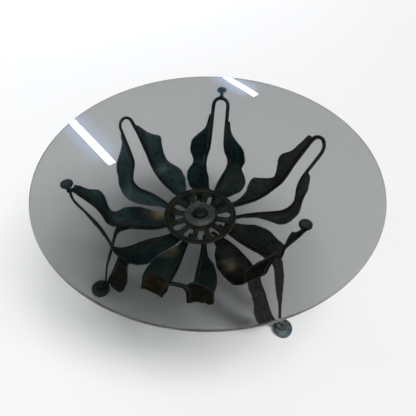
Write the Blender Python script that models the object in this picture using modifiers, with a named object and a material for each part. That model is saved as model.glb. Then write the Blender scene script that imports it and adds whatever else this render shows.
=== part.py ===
"""Round coffee table: a loose disc of clear glass on a welded, torch-cut steel base shaped like an
open flower. Metres, +Z up. The origin is on the floor under the middle of the glass, +Y to the back.
"""
import math

import bmesh
import bpy
from mathutils import Vector

for old in list(bpy.data.objects):
    bpy.data.objects.remove(old, do_unlink=True)

MM = 0.001

# Clearances
GAP = 0.0003  # between pieces that touch
WELD_GAP = 0.0005  # between a bar and the plate welded along it

# Glass top, a loose disc
GLASS_DIAMETER = 0.813
GLASS_THICK = 0.008
GLASS_CHAMFER = 0.0012
BASE_SHIFT = (-0.022, 0.038)  # the base's axis, seen from the middle of the glass

# Hub wheel in the middle of the base
HUB_TOP = 0.263
HUB_RADIUS = 0.1045
HUB_EASE = 0.003  # rounding of the casting's upper edges
RIM_WIDTH = 0.014
RIM_HEIGHT = 0.021
RIM_EDGE = 0.006  # from the rim's top down to where its outer side starts to slope in
RIM_SLOPE = 0.012  # the rim's foot lies this much inside its edge
WEB_DROP = 0.007  # the web's upper face lies this much under the rim's top
WEB_THICK = 0.006
BOSS_RADIUS = 0.047
BOSS_TALL = 0.004  # the boss stands out this much over the web
WINDOWS = 12
WINDOW_TURN = 3.5  # degrees from +X to the first window
WINDOW_NEAR = (0.0085, 0.0070)  # inner end: distance from the boss, radius of its rounding
WINDOW_FAR = (0.0140, 0.0120)  # outer end: distance from the rim, radius of its rounding

# Cap, bolt, washer and nut in the middle of the hub
CAP_RADIUS = 0.045
CAP_THICK = 0.007
CAP_EASE = 0.003
BOLT_RADIUS = 0.008
BOLT_SPARE = 0.008  # thread showing under the nut
BOLT_POINT = 0.001
HEAD_RADIUS = 0.019
HEAD_HEIGHT = 0.010
WASHER_RADIUS = 0.020
WASHER_THICK = 0.003
NUT_RADIUS = 0.0138
NUT_THICK = 0.013

# Arms: level under the hub rim, bent up at the knee, flared out to the tip
BAR_THICK = 0.006
BAR_LEAN = 0.0025  # above the knee a bar's slot edge stands this much outside its other edge
LEAF_THICK = 0.004
LEAF_CELLS = 2
CAMBER = 0.004
CAMBER_START = 0.028  # a plate is flat up to here, under the hub rim
CAMBER_OVER = 0.060  # length over which the camber then grows
CAMBER_FROM = 0.050  # a plate at least this wide has its full camber
RAGGED = 0.0012  # unevenness of a flame-cut edge
RAGGED_FROM = 0.020  # a plate at least this wide is fully uneven
RAGGED_WAVES = (0.037, 0.0217)  # lengths of the two waves in the cut
ROOT_RADIUS = 0.069  # where an arm's lengths are counted from
KNEE_BEND = 0.037
WAIST = 0.42  # how far up from the knee the bow is deepest
BOW = 0.018  # the rising part stands this much inside a straight line from knee to tip
BOW_BEND = 0.300
ARM_CURL_FROM = 0.170  # beyond this length an arm's own curl and lean set in
LEG_CURL_FROM = 0.060
CURL_OVER = 0.060
TWIST_FROM = 0.240  # beyond this length an arm's plates twist inward
TWIST_OVER = 0.150

# Pads under the glass
PAD_RADIUS = 0.0145
PAD_THICK = 0.005
PAD_EASE = 0.001
PAD_TALL = 0.0208  # pad and neck on the highest arm
NECK_RADIUS = 0.0055
NECK_FLARE = 0.002
BUMPER_RADIUS = 0.011
BUMPER_THICK = 0.0014

# Legs and feet
LEG_THICK = 0.005
LEG_BAR = 0.009
LEG_ROOT = 0.195
LEG_SEAT = 0.028  # length of a leg's bar that lies under the arm's bar
LEG_KNEE = 0.245
LEG_KNEE_BEND = 0.022
SHIN = 0.100  # height over the floor where the leg steepens
SHIN_BEND = 0.150
ANKLE = 0.020  # the leg comes down on the foot this far inside the foot's middle
ANKLE_BEND = 0.009
TONGUE = 0.014  # straight stretch of the bar before the stud
FOOT_RADIUS = 0.028
FOOT_HEIGHT = 0.016
FOOT_EASE = 0.003
FOOT_CHAMFER = 0.001
FOOT_REACH = 0.338
STUD_RADIUS = 0.0039
STUD_GAP = 0.0006
STUD_SPARE = 0.0005

ARM_Z = HUB_TOP - RIM_HEIGHT - GAP - BAR_THICK / 2
EYE_RADIUS = STUD_RADIUS + STUD_GAP + LEG_BAR / 2

# Six arms, one every 60 degrees. "left" and "right" are as seen looking out along the arm.
# knee: radius of the bend. tip: (radius, height over the level part) that the arm heads for. bar: its width.
# curl: how much tighter than round the axis the two sides curl above the knee.
# twist: how far the left and the right plate's outer edge leans in at the tip.
# slot: where the middle of the bar runs, as (distance along the arm, distance to the side).
# leaf: width of the cut plate outside the bar, as (distance along the arm, width). All lengths are in mm.
ARMS = [
    dict(
        azimuth=77, knee=262, tip=(311, 222), bar=11, curl=(1.0, 1.0), twist=(0, 0), foot=True,
        slot_left=[(-10, 14), (57, 10), (110, 21), (150, 38), (190, 43), (230, 34), (280, 30),
                   (375, 28)],
        slot_right=[(-10, -22), (57, -20), (110, -26), (150, -34), (190, -38), (225, -22), (260, -18),
                    (375, -17)],
        leaf_left=[(-8, 8), (10, 13), (28, 18), (65, 44), (100, 58), (130, 56), (155, 46), (180, 32),
                   (212, 50), (240, 57), (262, 51), (280, 38), (292, 20), (304, 11), (330, 7), (352, 3)],
        leaf_right=[(-8, 4), (10, 11), (28, 16), (60, 44), (80, 60), (105, 73), (128, 76), (152, 66),
                    (166, 57), (177, 38), (192, 46), (215, 60), (235, 61), (255, 53), (270, 36),
                    (285, 17), (310, 9), (340, 3)],
    ),
    dict(
        azimuth=17, knee=262, tip=(346, 223), bar=10, curl=(1.0, 0.3), twist=(0, 0), foot=False,
        slot_left=[(-10, 24), (60, 21), (110, 25), (150, 36), (190, 48), (230, 35), (280, 28),
                   (388, 27)],
        slot_right=[(-10, -22), (60, -25), (110, -32), (150, -40), (190, -49), (235, -55), (268, -36),
                    (300, -30), (388, -30)],
        leaf_left=[(28, 4), (75, 15), (110, 35), (130, 50), (150, 62), (170, 72), (182, 70), (194, 34),
                   (206, 27), (226, 25), (245, 30), (266, 42), (290, 52), (306, 45), (325, 28),
                   (345, 21), (372, 17), (392, 14), (403, 5)],
        leaf_right=[(62, 3), (95, 6), (124, 18), (151, 34), (175, 42), (205, 36), (235, 32), (268, 37),
                    (295, 42), (310, 30), (325, 15), (342, 3)],
    ),
    dict(
        azimuth=317, knee=262, tip=(311, 222), bar=9, curl=(1.2, 2.0), twist=(0, 0), foot=True,
        slot_left=[(-10, 22), (60, 18), (100, 21), (140, 29), (180, 40), (220, 35), (270, 28),
                   (378, 22)],
        slot_right=[(-10, -12), (60, -7), (100, -13), (140, -22), (175, -36), (220, -35), (270, -28),
                    (378, -22)],
        leaf_left=[(-8, 7), (10, 21), (28, 34), (60, 54), (80, 66), (100, 76), (125, 79), (150, 67),
                   (175, 48), (195, 38), (225, 46), (255, 50), (280, 40), (305, 22), (330, 10),
                   (355, 3)],
        leaf_right=[(-8, 11), (10, 17), (28, 22), (60, 52), (80, 65), (100, 74), (130, 77), (160, 68),
                    (182, 54), (205, 49), (235, 56), (260, 58), (285, 44), (305, 24), (330, 10),
                    (355, 3)],
    ),
    dict(
        azimuth=257, knee=276, tip=(337, 217), bar=8, curl=(0.4, 1.0), twist=(8, 13), foot=False,
        slot_left=[(-10, 26), (60, 33), (100, 35), (140, 37), (190, 38), (240, 40), (290, 44),
                   (385, 50)],
        slot_right=[(-10, -14), (60, -17), (100, -19), (140, -25), (190, -34), (240, -24), (290, -6),
                    (385, 12)],
        leaf_left=[(-8, 3), (10, 4), (28, 6), (60, 14), (90, 34), (120, 48), (150, 54), (180, 51),
                   (205, 48), (235, 56), (265, 56), (290, 52), (310, 50), (335, 45), (360, 36),
                   (380, 27), (394, 16)],
        leaf_right=[(-8, 4), (10, 7), (28, 10), (60, 30), (85, 50), (110, 62), (140, 72), (170, 69),
                    (195, 56), (215, 51), (240, 54), (268, 50), (290, 47), (310, 46), (335, 44),
                    (360, 41), (385, 38), (401, 32)],
    ),
    dict(
        azimuth=197, knee=262, tip=(319, 222), bar=9, curl=(1.2, 1.1), twist=(0, 0), foot=True,
        slot_left=[(-10, 26), (60, 34), (90, 32), (120, 36), (150, 41), (190, 42), (230, 36), (280, 30),
                   (376, 22)],
        slot_right=[(-10, -9), (60, -5), (90, -15), (120, -25), (150, -40), (180, -47), (220, -46),
                    (260, -42), (300, -36), (340, -29), (376, -22)],
        leaf_left=[(-8, 8), (10, 16), (28, 26), (60, 38), (90, 50), (120, 62), (145, 66), (165, 58),
                   (185, 36), (205, 24), (235, 36), (260, 40), (285, 34), (310, 20), (335, 8), (358, 3)],
        leaf_right=[(-8, 16), (10, 27), (28, 38), (60, 54), (80, 62), (100, 68), (125, 73), (150, 70),
                    (172, 58), (190, 41), (212, 38), (235, 38), (255, 46), (275, 52), (292, 50),
                    (310, 41), (330, 29), (348, 23), (368, 19), (386, 9)],
    ),
    dict(
        azimuth=137, knee=260, tip=(293, 215), bar=8, curl=(0.9, 0.9), twist=(0, 0), foot=False,
        slot_left=[(-10, 24), (60, 26), (100, 28), (130, 34), (160, 43), (190, 46), (220, 35), (250, 22),
                   (300, 24), (370, 26)],
        slot_right=[(-10, -22), (60, -23), (100, -26), (130, -31), (160, -38), (190, -41), (230, -36),
                    (280, -28), (330, -23), (370, -17)],
        leaf_left=[(30, 4), (75, 22), (105, 40), (135, 48), (160, 49), (187, 49), (210, 56), (240, 69),
                   (265, 67), (290, 59), (305, 38), (320, 15), (340, 6), (362, 3)],
        leaf_right=[(-8, 4), (10, 7), (28, 10), (70, 38), (100, 58), (130, 70), (158, 74), (175, 66),
                    (190, 52), (215, 48), (245, 48), (262, 48), (275, 58), (292, 58), (305, 42),
                    (318, 27), (340, 12), (362, 3)],
    ),
]

# Three legs, under the first, third and fifth arm, given the same way, but with distances up along the
# leg from the foot's stud. The top follows the arm's bar and the last stretch follows the stud.
# inset: how far the foot stands inside the others. shin: how far inside the foot's middle it steepens.
LEGS = [
    dict(
        inset=53, shin=32, curl=(1.0, 1.0),
        slot_left=[(221, 42), (171, 40), (121, 35), (76, 22), (43, 11)],
        slot_right=[(221, -40), (171, -38), (121, -34), (76, -22), (43, -11)],
        leaf_left=[(293, 22), (241, 24), (201, 24), (171, 20), (136, 12), (111, 3)],
        leaf_right=[(293, 22), (241, 26), (206, 26), (171, 28), (136, 26), (106, 16), (86, 4)],
    ),
    dict(
        inset=0, shin=32, curl=(0.2, 1.0),
        slot_left=[(226, 32), (181, 20), (131, 11), (71, 8)],
        slot_right=[(226, -36), (181, -34), (126, -36), (86, -32), (46, -16)],
        leaf_left=[(293, 22), (241, 28), (201, 32), (171, 28), (141, 18), (116, 8), (96, 3)],
        leaf_right=[(293, 28), (241, 32), (206, 30), (171, 34), (131, 42), (101, 40), (79, 28), (61, 5)],
    ),
    dict(
        inset=0, shin=41, curl=(1.8, 1.0),
        slot_left=[(221, 45), (171, 40), (116, 34), (71, 22), (43, 13)],
        slot_right=[(221, -26), (171, -20), (116, -21), (71, -27), (45, -22)],
        leaf_left=[(293, 30), (241, 40), (191, 49), (141, 59), (113, 60), (97, 50), (85, 18), (74, 4)],
        leaf_right=[(293, 16), (241, 16), (191, 12), (151, 8), (121, 3)],
    ),
]

parts = bpy.data.collections.new("coffee_table")
cutters = bpy.data.collections.new("cutters")
bpy.context.scene.collection.children.link(parts)
bpy.context.scene.collection.children.link(cutters)

base = bpy.data.objects.new("base", None)
base.location = (BASE_SHIFT[0], BASE_SHIFT[1], 0)
parts.objects.link(base)


def dress(obj, colour, rough, metal):
    """Gives an object its own material."""
    mat = bpy.data.materials.new(obj.name)
    mat.use_nodes = True
    bsdf = mat.node_tree.nodes["Principled BSDF"]
    bsdf.inputs["Base Color"].default_value = (*colour, 1)
    bsdf.inputs["Roughness"].default_value = rough
    bsdf.inputs["Metallic"].default_value = metal
    obj.data.materials.append(mat)


def add(name, mesh, parent, location=(0, 0, 0), turn=0.0):
    obj = bpy.data.objects.new(name, mesh)
    parts.objects.link(obj)
    obj.parent = parent
    obj.location = location
    obj.rotation_euler = (0, 0, turn)
    return obj


def turned(name, profile, steps, parent, location=(0, 0, 0), closed=False):
    """A lathe shape: profile is (radius, height), down the outer side."""
    mesh = bpy.data.meshes.new(name)
    count = len(profile)
    edges = [(i, i + 1) for i in range(count - 1)]
    if closed:
        edges.append((count - 1, 0))
    mesh.from_pydata([(r, 0, z) for r, z in profile], edges, [])
    obj = add(name, mesh, parent, location)
    screw = obj.modifiers.new("turn", "SCREW")
    screw.axis = "Z"
    screw.angle = math.tau
    screw.steps = steps
    screw.render_steps = steps
    screw.use_merge_vertices = True
    screw.merge_threshold = 0.00001
    screw.use_smooth_shade = True
    return obj


def smooth(points, x):
    """A smooth line through the points that never overshoots them."""
    if x <= points[0][0]:
        return points[0][1]
    if x >= points[-1][0]:
        return points[-1][1]
    rise = [(b[1] - a[1]) / (b[0] - a[0]) for a, b in zip(points, points[1:])]
    slope = [rise[0]]
    for before, after in zip(rise, rise[1:]):
        slope.append(0 if before * after <= 0 else 2 * before * after / (before + after))
    slope.append(rise[-1])
    for i, (a, b) in enumerate(zip(points, points[1:])):
        if x <= b[0]:
            span = b[0] - a[0]
            t = (x - a[0]) / span
            return (
                a[1] * (1 + 2 * t) * (1 - t) ** 2
                + slope[i] * span * t * (1 - t) ** 2
                + b[1] * t * t * (3 - 2 * t)
                - slope[i + 1] * span * t * t * (1 - t)
            )


def route(corners, radii):
    """A side view line of (radius, height) with rounded corners, as a list of straights and arcs."""
    points = [Vector(c) for c in corners]
    pieces = []
    start = points[0]
    for before, corner, after, radius in zip(points, points[1:], points[2:], radii):
        inward = (corner - before).normalized()
        outward = (after - corner).normalized()
        angle = inward.angle_signed(outward)
        cut = radius * math.tan(abs(angle) / 2)
        pieces.append((start, inward, 0.0, (corner - inward * cut - start).length))
        pieces.append((corner - inward * cut, inward, -angle / (radius * abs(angle)), radius * abs(angle)))
        start = corner + outward * cut
    pieces.append((start, (points[-1] - start).normalized(), 0.0, (points[-1] - start).length))
    return pieces


def on_route(pieces, u):
    """The (radius, height) a length u along a route, whose last straight goes on."""
    for start, heading, bend, length in pieces:
        if u <= length or pieces[-1][0] is start:
            break
        u -= length
    if bend == 0:
        return start + heading * u
    side = Vector((-heading.y, heading.x)) / bend
    a = u * bend
    return start + side - side * math.cos(a) + heading / bend * math.sin(a)


def set_in(u, start):
    """Grows from 0 to 1 after a length along an arm or leg."""
    return min(1, max(0, (u - start) / CURL_OVER))


def surface(pieces, curl, u, y):
    """A point of the sheet that an arm is cut from: it follows the route and curls about the axis.
    curl is (left, right, the length where it sets in)."""
    r, z = on_route(pieces, u)
    bent = 1 + (curl[0 if y > 0 else 1] - 1) * set_in(u, curl[2])
    bend = r / bent
    a = y / bend
    return Vector((r - bend * (1 - math.cos(a)), bend * math.sin(a), z))


def upright(pieces, curl, u, y):
    """The unit normal of the sheet, on the upper or inner side."""
    d = 0.0004
    along = surface(pieces, curl, u + d, y) - surface(pieces, curl, u - d, y)
    across = surface(pieces, curl, u, y + d) - surface(pieces, curl, u, y - d)
    return along.cross(across).normalized()


def plate(name, rows, thick, pieces, curl, turn):
    """A plate on the sheet: rows of (u, y, lift), made from a grid pulled to shape and thickened."""
    n, m = len(rows) - 1, len(rows[0]) - 1
    bm = bmesh.new()
    bmesh.ops.create_grid(bm, x_segments=n, y_segments=m, size=1.0)
    under = bm.verts[:]
    made = bmesh.ops.extrude_face_region(bm, geom=bm.faces[:])
    over = [v for v in made["geom"] if isinstance(v, bmesh.types.BMVert)]
    for side, verts in ((-0.5, under), (0.5, over)):
        for v in verts:
            u, y, lift = rows[round((v.co.x + 1) / 2 * n)][round((v.co.y + 1) / 2 * m)]
            v.co = surface(pieces, curl, u, y) + upright(pieces, curl, u, y) * (lift + side * thick)
    bmesh.ops.recalc_face_normals(bm, faces=bm.faces[:])
    mesh = bpy.data.meshes.new(name)
    bm.to_mesh(mesh)
    bm.free()
    mesh.shade_smooth()
    mesh.set_sharp_from_angle(angle=math.radians(40))
    return add(name, mesh, base, turn=turn)


def hairpin(left, right, count, around):
    """Middle line of a bar that runs out on the left, turns round and comes back on the right."""
    first, last = left[0][0], left[-1][0]
    runs = [first + (last - first) * i / count for i in range(count + 1)]
    middle = (left[-1][1] + right[-1][1]) / 2
    radius = (left[-1][1] - right[-1][1]) / 2
    line = [(u, smooth(left, u)) for u in runs]
    for i in range(1, around):
        a = math.pi * i / around
        line.append((last + radius * math.sin(a), middle + radius * math.cos(a)))
    line += [(u, smooth(right, u)) for u in reversed(runs)]
    return [Vector(p) * MM for p in line]


def outward(line):
    """For each point of a hairpin line, the direction away from the slot."""
    ends = [line[0]] + line + [line[-1]]
    steps = [(b - a).normalized() for a, b in zip(ends, ends[2:])]
    return [Vector((-s.y, s.x)) for s in steps]


def bar(name, line, width, thick, lean, pieces, curl, turn):
    """A flat bar along a hairpin line, leaning beyond the length where its curl sets in."""
    rows = []
    for p, away in zip(line, outward(line)):
        inner, outer = p - away * width / 2, p + away * width / 2
        rows.append([(*inner, -lean * set_in(p.x, curl[2])), (*outer, 0)])
    return plate(name, rows, thick, pieces, curl, turn)


def leaf(name, line, widths, side, width, twist, pieces, curl, turn, phase):
    """A flame-cut plate welded along the outside of a bar."""
    rows = []
    for p, away in zip(line, outward(line)):
        if away.y * side < 0.5 or not widths[0][0] <= p.x / MM <= widths[-1][0]:
            continue
        inner = p + away * (width / 2 + WELD_GAP)
        spread = smooth(widths, p.x / MM) * MM
        rough = RAGGED * min(1, spread / RAGGED_FROM)
        for wave, shift in zip(RAGGED_WAVES, (phase, 2 * phase)):
            spread += rough * math.sin(math.tau * p.x / wave + shift)
        crown = CAMBER * min(1, spread / CAMBER_FROM) * min(1, max(0, (p.x - CAMBER_START) / CAMBER_OVER))
        tilt = twist * min(1, max(0, (p.x - TWIST_FROM) / TWIST_OVER))
        row = []
        for j in range(LEAF_CELLS + 1):
            v = j / LEAF_CELLS
            row.append((inner.x, inner.y + side * spread * v, crown * 4 * v * (1 - v) + tilt * v))
        rows.append(row)
    return plate(name, rows, LEAF_THICK, pieces, curl, turn)


STEEL = (0.045, 0.055, 0.058)
BROWN = (0.060, 0.055, 0.045)

# Hub wheel: rim, spoked web and boss in one casting, with windows cut between the spokes
hole = BOLT_RADIUS + GAP
rim_in = HUB_RADIUS - RIM_WIDTH
boss_low = -RIM_HEIGHT
web_top = -WEB_DROP
web_low = web_top - WEB_THICK
boss_top = web_top + BOSS_TALL
wheel = turned(
    "hub_wheel",
    [(hole, boss_top), (BOSS_RADIUS - HUB_EASE, boss_top), (BOSS_RADIUS, boss_top - HUB_EASE),
     (BOSS_RADIUS, web_top), (rim_in, web_top), (rim_in, -HUB_EASE), (rim_in + HUB_EASE, 0),
     (HUB_RADIUS - HUB_EASE, 0), (HUB_RADIUS, -HUB_EASE), (HUB_RADIUS, -RIM_EDGE),
     (HUB_RADIUS - RIM_SLOPE, -RIM_HEIGHT), (rim_in, -RIM_HEIGHT), (rim_in, web_low),
     (BOSS_RADIUS, web_low), (BOSS_RADIUS, boss_low), (hole, boss_low)],
    48, base, (0, 0, HUB_TOP), closed=True,
)
dress(wheel, (0.075, 0.072, 0.055), 0.55, 0.8)

outline = bpy.data.curves.new("windows", "CURVE")
outline.dimensions = "2D"
outline.fill_mode = "BOTH"
outline.extrude = RIM_HEIGHT
near, far = BOSS_RADIUS + WINDOW_NEAR[0], rim_in - WINDOW_FAR[0]
lean = math.asin((WINDOW_FAR[1] - WINDOW_NEAR[1]) / (far - near))
for k in range(WINDOWS):
    heading = math.radians(WINDOW_TURN) + math.tau * k / WINDOWS
    ring = []
    for reach, radius, start, stop in (
        (far, WINDOW_FAR[1], -math.pi / 2 - lean, math.pi / 2 + lean),
        (near, WINDOW_NEAR[1], math.pi / 2 + lean, 3 * math.pi / 2 - lean),
    ):
        for i in range(6):
            a = start + (stop - start) * i / 5
            x, y = reach + radius * math.cos(a), radius * math.sin(a)
            ring.append((x * math.cos(heading) - y * math.sin(heading),
                         x * math.sin(heading) + y * math.cos(heading)))
    spline = outline.splines.new("POLY")
    spline.points.add(len(ring) - 1)
    for point, (x, y) in zip(spline.points, ring):
        point.co = (x, y, 0, 1)
    spline.use_cyclic_u = True
guide = bpy.data.objects.new("windows", outline)
cutters.objects.link(guide)
guide.parent = base
guide.location = (0, 0, HUB_TOP)
bpy.context.view_layer.update()
flat = guide.evaluated_get(bpy.context.evaluated_depsgraph_get())
cut = bpy.data.objects.new("window_cutter", bpy.data.meshes.new_from_object(flat))
bm = bmesh.new()
bm.from_mesh(cut.data)
bmesh.ops.remove_doubles(bm, verts=bm.verts[:], dist=0.00001)
bmesh.ops.recalc_face_normals(bm, faces=bm.faces[:])
bm.to_mesh(cut.data)
bm.free()
cutters.objects.link(cut)
cut.matrix_world = guide.matrix_world
bpy.data.objects.remove(guide, do_unlink=True)
cut.hide_render = True
cut.display_type = "WIRE"
windows = wheel.modifiers.new("windows", "BOOLEAN")
windows.operation = "DIFFERENCE"
windows.solver = "EXACT"
windows.object = cut

# Cap, through bolt, washer and nut that hold the wheel's middle together
cap_low = HUB_TOP + boss_top + GAP
cap = turned(
    "hub_cap",
    [(hole, CAP_THICK), (CAP_RADIUS - 2 * CAP_EASE, CAP_THICK), (CAP_RADIUS, CAP_THICK - CAP_EASE),
     (CAP_RADIUS, 0), (hole, 0)],
    36, base, (0, 0, cap_low), closed=True,
)
dress(cap, (0.085, 0.090, 0.088), 0.5, 0.85)
head_low = cap_low + CAP_THICK + GAP
washer_top = HUB_TOP + boss_low - GAP
nut_top = washer_top - WASHER_THICK - GAP
shank = head_low - nut_top + NUT_THICK + BOLT_SPARE
dome = []
for i in range(5):
    a = math.pi / 2 * i / 4
    dome.append((HEAD_RADIUS * math.sin(a), HEAD_HEIGHT * math.cos(a)))
bolt = turned(
    "hub_bolt",
    dome[:-1] + [(HEAD_RADIUS, 0), (BOLT_RADIUS, 0), (BOLT_RADIUS, BOLT_POINT - shank),
                 (BOLT_RADIUS - BOLT_POINT, -shank), (0, -shank)],
    24, base, (0, 0, head_low),
)
dress(bolt, (0.055, 0.065, 0.066), 0.45, 0.9)
washer = turned(
    "hub_washer",
    [(hole, 0), (WASHER_RADIUS, 0), (WASHER_RADIUS, -WASHER_THICK), (hole, -WASHER_THICK)],
    32, base, (0, 0, washer_top), closed=True,
)
dress(washer, (0.09, 0.09, 0.09), 0.5, 0.9)
flats = bpy.data.curves.new("hub_nut", "CURVE")
flats.dimensions = "2D"
flats.fill_mode = "BOTH"
flats.extrude = NUT_THICK / 2
for radius, sides in ((NUT_RADIUS, 6), (hole, 32)):
    spline = flats.splines.new("POLY")
    spline.points.add(sides - 1)
    for i, point in enumerate(spline.points):
        a = math.tau * i / sides
        point.co = (radius * math.cos(a), radius * math.sin(a), 0, 1)
    spline.use_cyclic_u = True
nut = add("hub_nut", flats, base, (0, 0, nut_top - NUT_THICK / 2))
dress(nut, (0.08, 0.08, 0.08), 0.5, 0.9)

# Arms: a bar bent into a hairpin, with a leaf-shaped plate welded along each outer side
PHASE = 1.7  # shifts the waves of the cut from one plate to the next
number = 0
seats = {}
for index, arm in enumerate(ARMS, 1):
    turn = math.radians(arm["azimuth"])
    reach, climb = Vector(arm["tip"]) * MM
    width = arm["bar"] * MM
    knee = arm["knee"] * MM
    waist = (knee + WAIST * (reach - knee) - BOW, ARM_Z + WAIST * climb)
    pieces = route([(ROOT_RADIUS, ARM_Z), (knee, ARM_Z), waist, (reach, ARM_Z + climb)],
                   (KNEE_BEND, BOW_BEND))
    curl = (*arm["curl"], ARM_CURL_FROM)
    line = hairpin(arm["slot_left"], arm["slot_right"], 26, 10)
    rod = bar(f"arm_bar_{index}", line, width, BAR_THICK, BAR_LEAN, pieces, curl, turn)
    dress(rod, STEEL, 0.5, 0.85)
    for side, hand, twist in ((1, "left", arm["twist"][0]), (-1, "right", arm["twist"][1])):
        number += 1
        blade = leaf(f"arm_leaf_{index}_{hand}", line, arm[f"leaf_{hand}"], side, width, twist * MM,
                     pieces, curl, turn, PHASE * number)
        dress(blade, STEEL if number % 2 else BROWN, 0.5, 0.85)
    top = max(line, key=lambda p: p.x) + Vector((width / 2, 0))
    seats[index] = surface(pieces, curl, *top)
    seats[index].z = max(v.co.z for v in rod.data.vertices) + GAP

# Pads on the tops of the arms that have a leg, each with a clear soft disc between it and the glass
carriers = [index for index, arm in enumerate(ARMS, 1) if arm["foot"]]
pad_top = max(seats[index].z for index in carriers) + PAD_TALL
for third, index in enumerate(carriers, 1):
    turn = math.radians(ARMS[index - 1]["azimuth"])
    seat = seats[index]
    x = seat.x * math.cos(turn) - seat.y * math.sin(turn)
    y = seat.x * math.sin(turn) + seat.y * math.cos(turn)
    tall = pad_top - seat.z
    pad = turned(
        f"pad_{third}",
        [(0, tall), (PAD_RADIUS - PAD_EASE, tall), (PAD_RADIUS, tall - PAD_EASE),
         (PAD_RADIUS, tall - PAD_THICK + PAD_EASE), (PAD_RADIUS - PAD_EASE, tall - PAD_THICK),
         (NECK_RADIUS, tall - PAD_THICK - NECK_FLARE), (NECK_RADIUS, 0), (0, 0)],
        20, base, (x, y, seat.z),
    )
    dress(pad, STEEL, 0.45, 0.85)
    bumper = turned(
        f"bumper_{third}",
        [(0, BUMPER_THICK), (BUMPER_RADIUS, BUMPER_THICK), (BUMPER_RADIUS, 0), (0, 0)],
        16, base, (x, y, pad_top + GAP),
    )
    dress(bumper, (0.75, 0.78, 0.78), 0.2, 0.0)

# Legs: a second hairpin welded under the arm's bar, with leaves like the arm's, down to a round foot
leg_z = ARM_Z - BAR_THICK / 2 - GAP - LEG_THICK / 2
tongue = FOOT_HEIGHT + GAP + LEG_THICK / 2
for third, index in enumerate(carriers, 1):
    arm, leg = ARMS[index - 1], LEGS[third - 1]
    reach = FOOT_REACH - leg["inset"] * MM
    pieces = route([(LEG_ROOT, leg_z), (LEG_KNEE, leg_z), (reach - leg["shin"] * MM, SHIN),
                    (reach - ANKLE, tongue), (reach, tongue)], (LEG_KNEE_BEND, SHIN_BEND, ANKLE_BEND))
    eye = sum(piece[3] for piece in pieces) / MM
    turn = math.radians(arm["azimuth"])
    curl = (*leg["curl"], LEG_CURL_FROM)
    runs = []
    for side, hand in ((1, "left"), (-1, "right")):
        under = smooth(arm[f"slot_{hand}"], (LEG_ROOT + LEG_SEAT / 2 - ROOT_RADIUS) / MM)
        start = [(0, under), (LEG_SEAT / MM, under)]
        middle = [(eye - up, y) for up, y in leg[f"slot_{hand}"]]
        runs.append(start + middle + [(u, side * EYE_RADIUS / MM) for u in (eye - TONGUE / MM, eye)])
    line = hairpin(*runs, 24, 8)
    rod = bar(f"leg_bar_{third}", line, LEG_BAR, LEG_THICK, 0, pieces, curl, turn)
    dress(rod, STEEL, 0.5, 0.85)
    for side, hand in ((1, "left"), (-1, "right")):
        number += 1
        widths = [(eye - up, width) for up, width in leg[f"leaf_{hand}"]]
        blade = leaf(f"leg_leaf_{third}_{hand}", line, widths, side, LEG_BAR, 0,
                     pieces, curl, turn, PHASE * number)
        dress(blade, STEEL, 0.5, 0.85)
    stud = tongue + LEG_THICK / 2 + STUD_SPARE
    foot = turned(
        f"foot_{third}",
        [(0, stud), (STUD_RADIUS, stud), (STUD_RADIUS, FOOT_HEIGHT), (FOOT_RADIUS - FOOT_EASE, FOOT_HEIGHT),
         (FOOT_RADIUS, FOOT_HEIGHT - FOOT_EASE), (FOOT_RADIUS, FOOT_CHAMFER), (FOOT_RADIUS - FOOT_CHAMFER, 0),
         (0, 0)],
        28, base, (reach * math.cos(turn), reach * math.sin(turn), 0),
    )
    dress(foot, (0.085, 0.105, 0.125), 0.45, 0.8)

# Glass top: a loose disc with a small chamfer round both edges, lying on the bumpers
half = GLASS_DIAMETER / 2
glass = turned(
    "glass_top",
    [(0, GLASS_THICK), (half - GLASS_CHAMFER, GLASS_THICK), (half, GLASS_THICK - GLASS_CHAMFER),
     (half, GLASS_CHAMFER), (half - GLASS_CHAMFER, 0), (0, 0)],
    96, None, (0, 0, pad_top + GAP + BUMPER_THICK + GAP),
)
dress(glass, (0.80, 0.86, 0.84), 0.03, 0.0)
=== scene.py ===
"""Looks of a round glass table on a torch-cut steel base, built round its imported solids. Metres, +Z up."""
import math

import bmesh
import bpy
import numpy as np
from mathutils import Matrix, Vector
from mathutils.bvhtree import BVHTree
from mathutils.kdtree import KDTree


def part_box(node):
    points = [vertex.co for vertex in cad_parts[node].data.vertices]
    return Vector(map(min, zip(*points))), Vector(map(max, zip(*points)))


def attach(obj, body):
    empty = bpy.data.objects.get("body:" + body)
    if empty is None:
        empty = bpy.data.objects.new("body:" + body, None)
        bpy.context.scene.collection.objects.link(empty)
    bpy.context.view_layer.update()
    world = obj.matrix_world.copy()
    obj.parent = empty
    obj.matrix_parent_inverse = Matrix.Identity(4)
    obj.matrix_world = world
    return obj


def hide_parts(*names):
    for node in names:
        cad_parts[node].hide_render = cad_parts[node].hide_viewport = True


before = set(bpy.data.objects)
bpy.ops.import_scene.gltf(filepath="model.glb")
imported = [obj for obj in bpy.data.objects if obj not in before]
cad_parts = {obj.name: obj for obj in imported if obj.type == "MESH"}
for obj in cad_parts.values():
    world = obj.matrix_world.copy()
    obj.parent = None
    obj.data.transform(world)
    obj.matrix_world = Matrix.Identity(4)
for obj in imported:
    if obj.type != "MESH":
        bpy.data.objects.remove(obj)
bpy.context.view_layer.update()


# Hub wheel: one iron casting with a rim, twelve windows and a boss, left with its sandy skin. Its edges
# came round out of the mould and are rubbed along the rim, and the old dark coat has gone olive brown. The
# arms are welded on under the rim.
WHEEL_STEPS = 144
RIM_WIDTH = 0.014
RIM_EDGE = 0.006  # from the rim's top down to where its outer side slopes in
RIM_SLOPE = 0.012
WEB_DROP = 0.007
WEB_THICK = 0.006
BOSS_RADIUS = 0.047
BOSS_TALL = 0.004
BOLT_HOLE = 0.0083
WINDOWS = 12
WINDOW_TURN = 3.5  # degrees
WINDOW_INNER = (0.0555, 0.0070)
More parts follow.
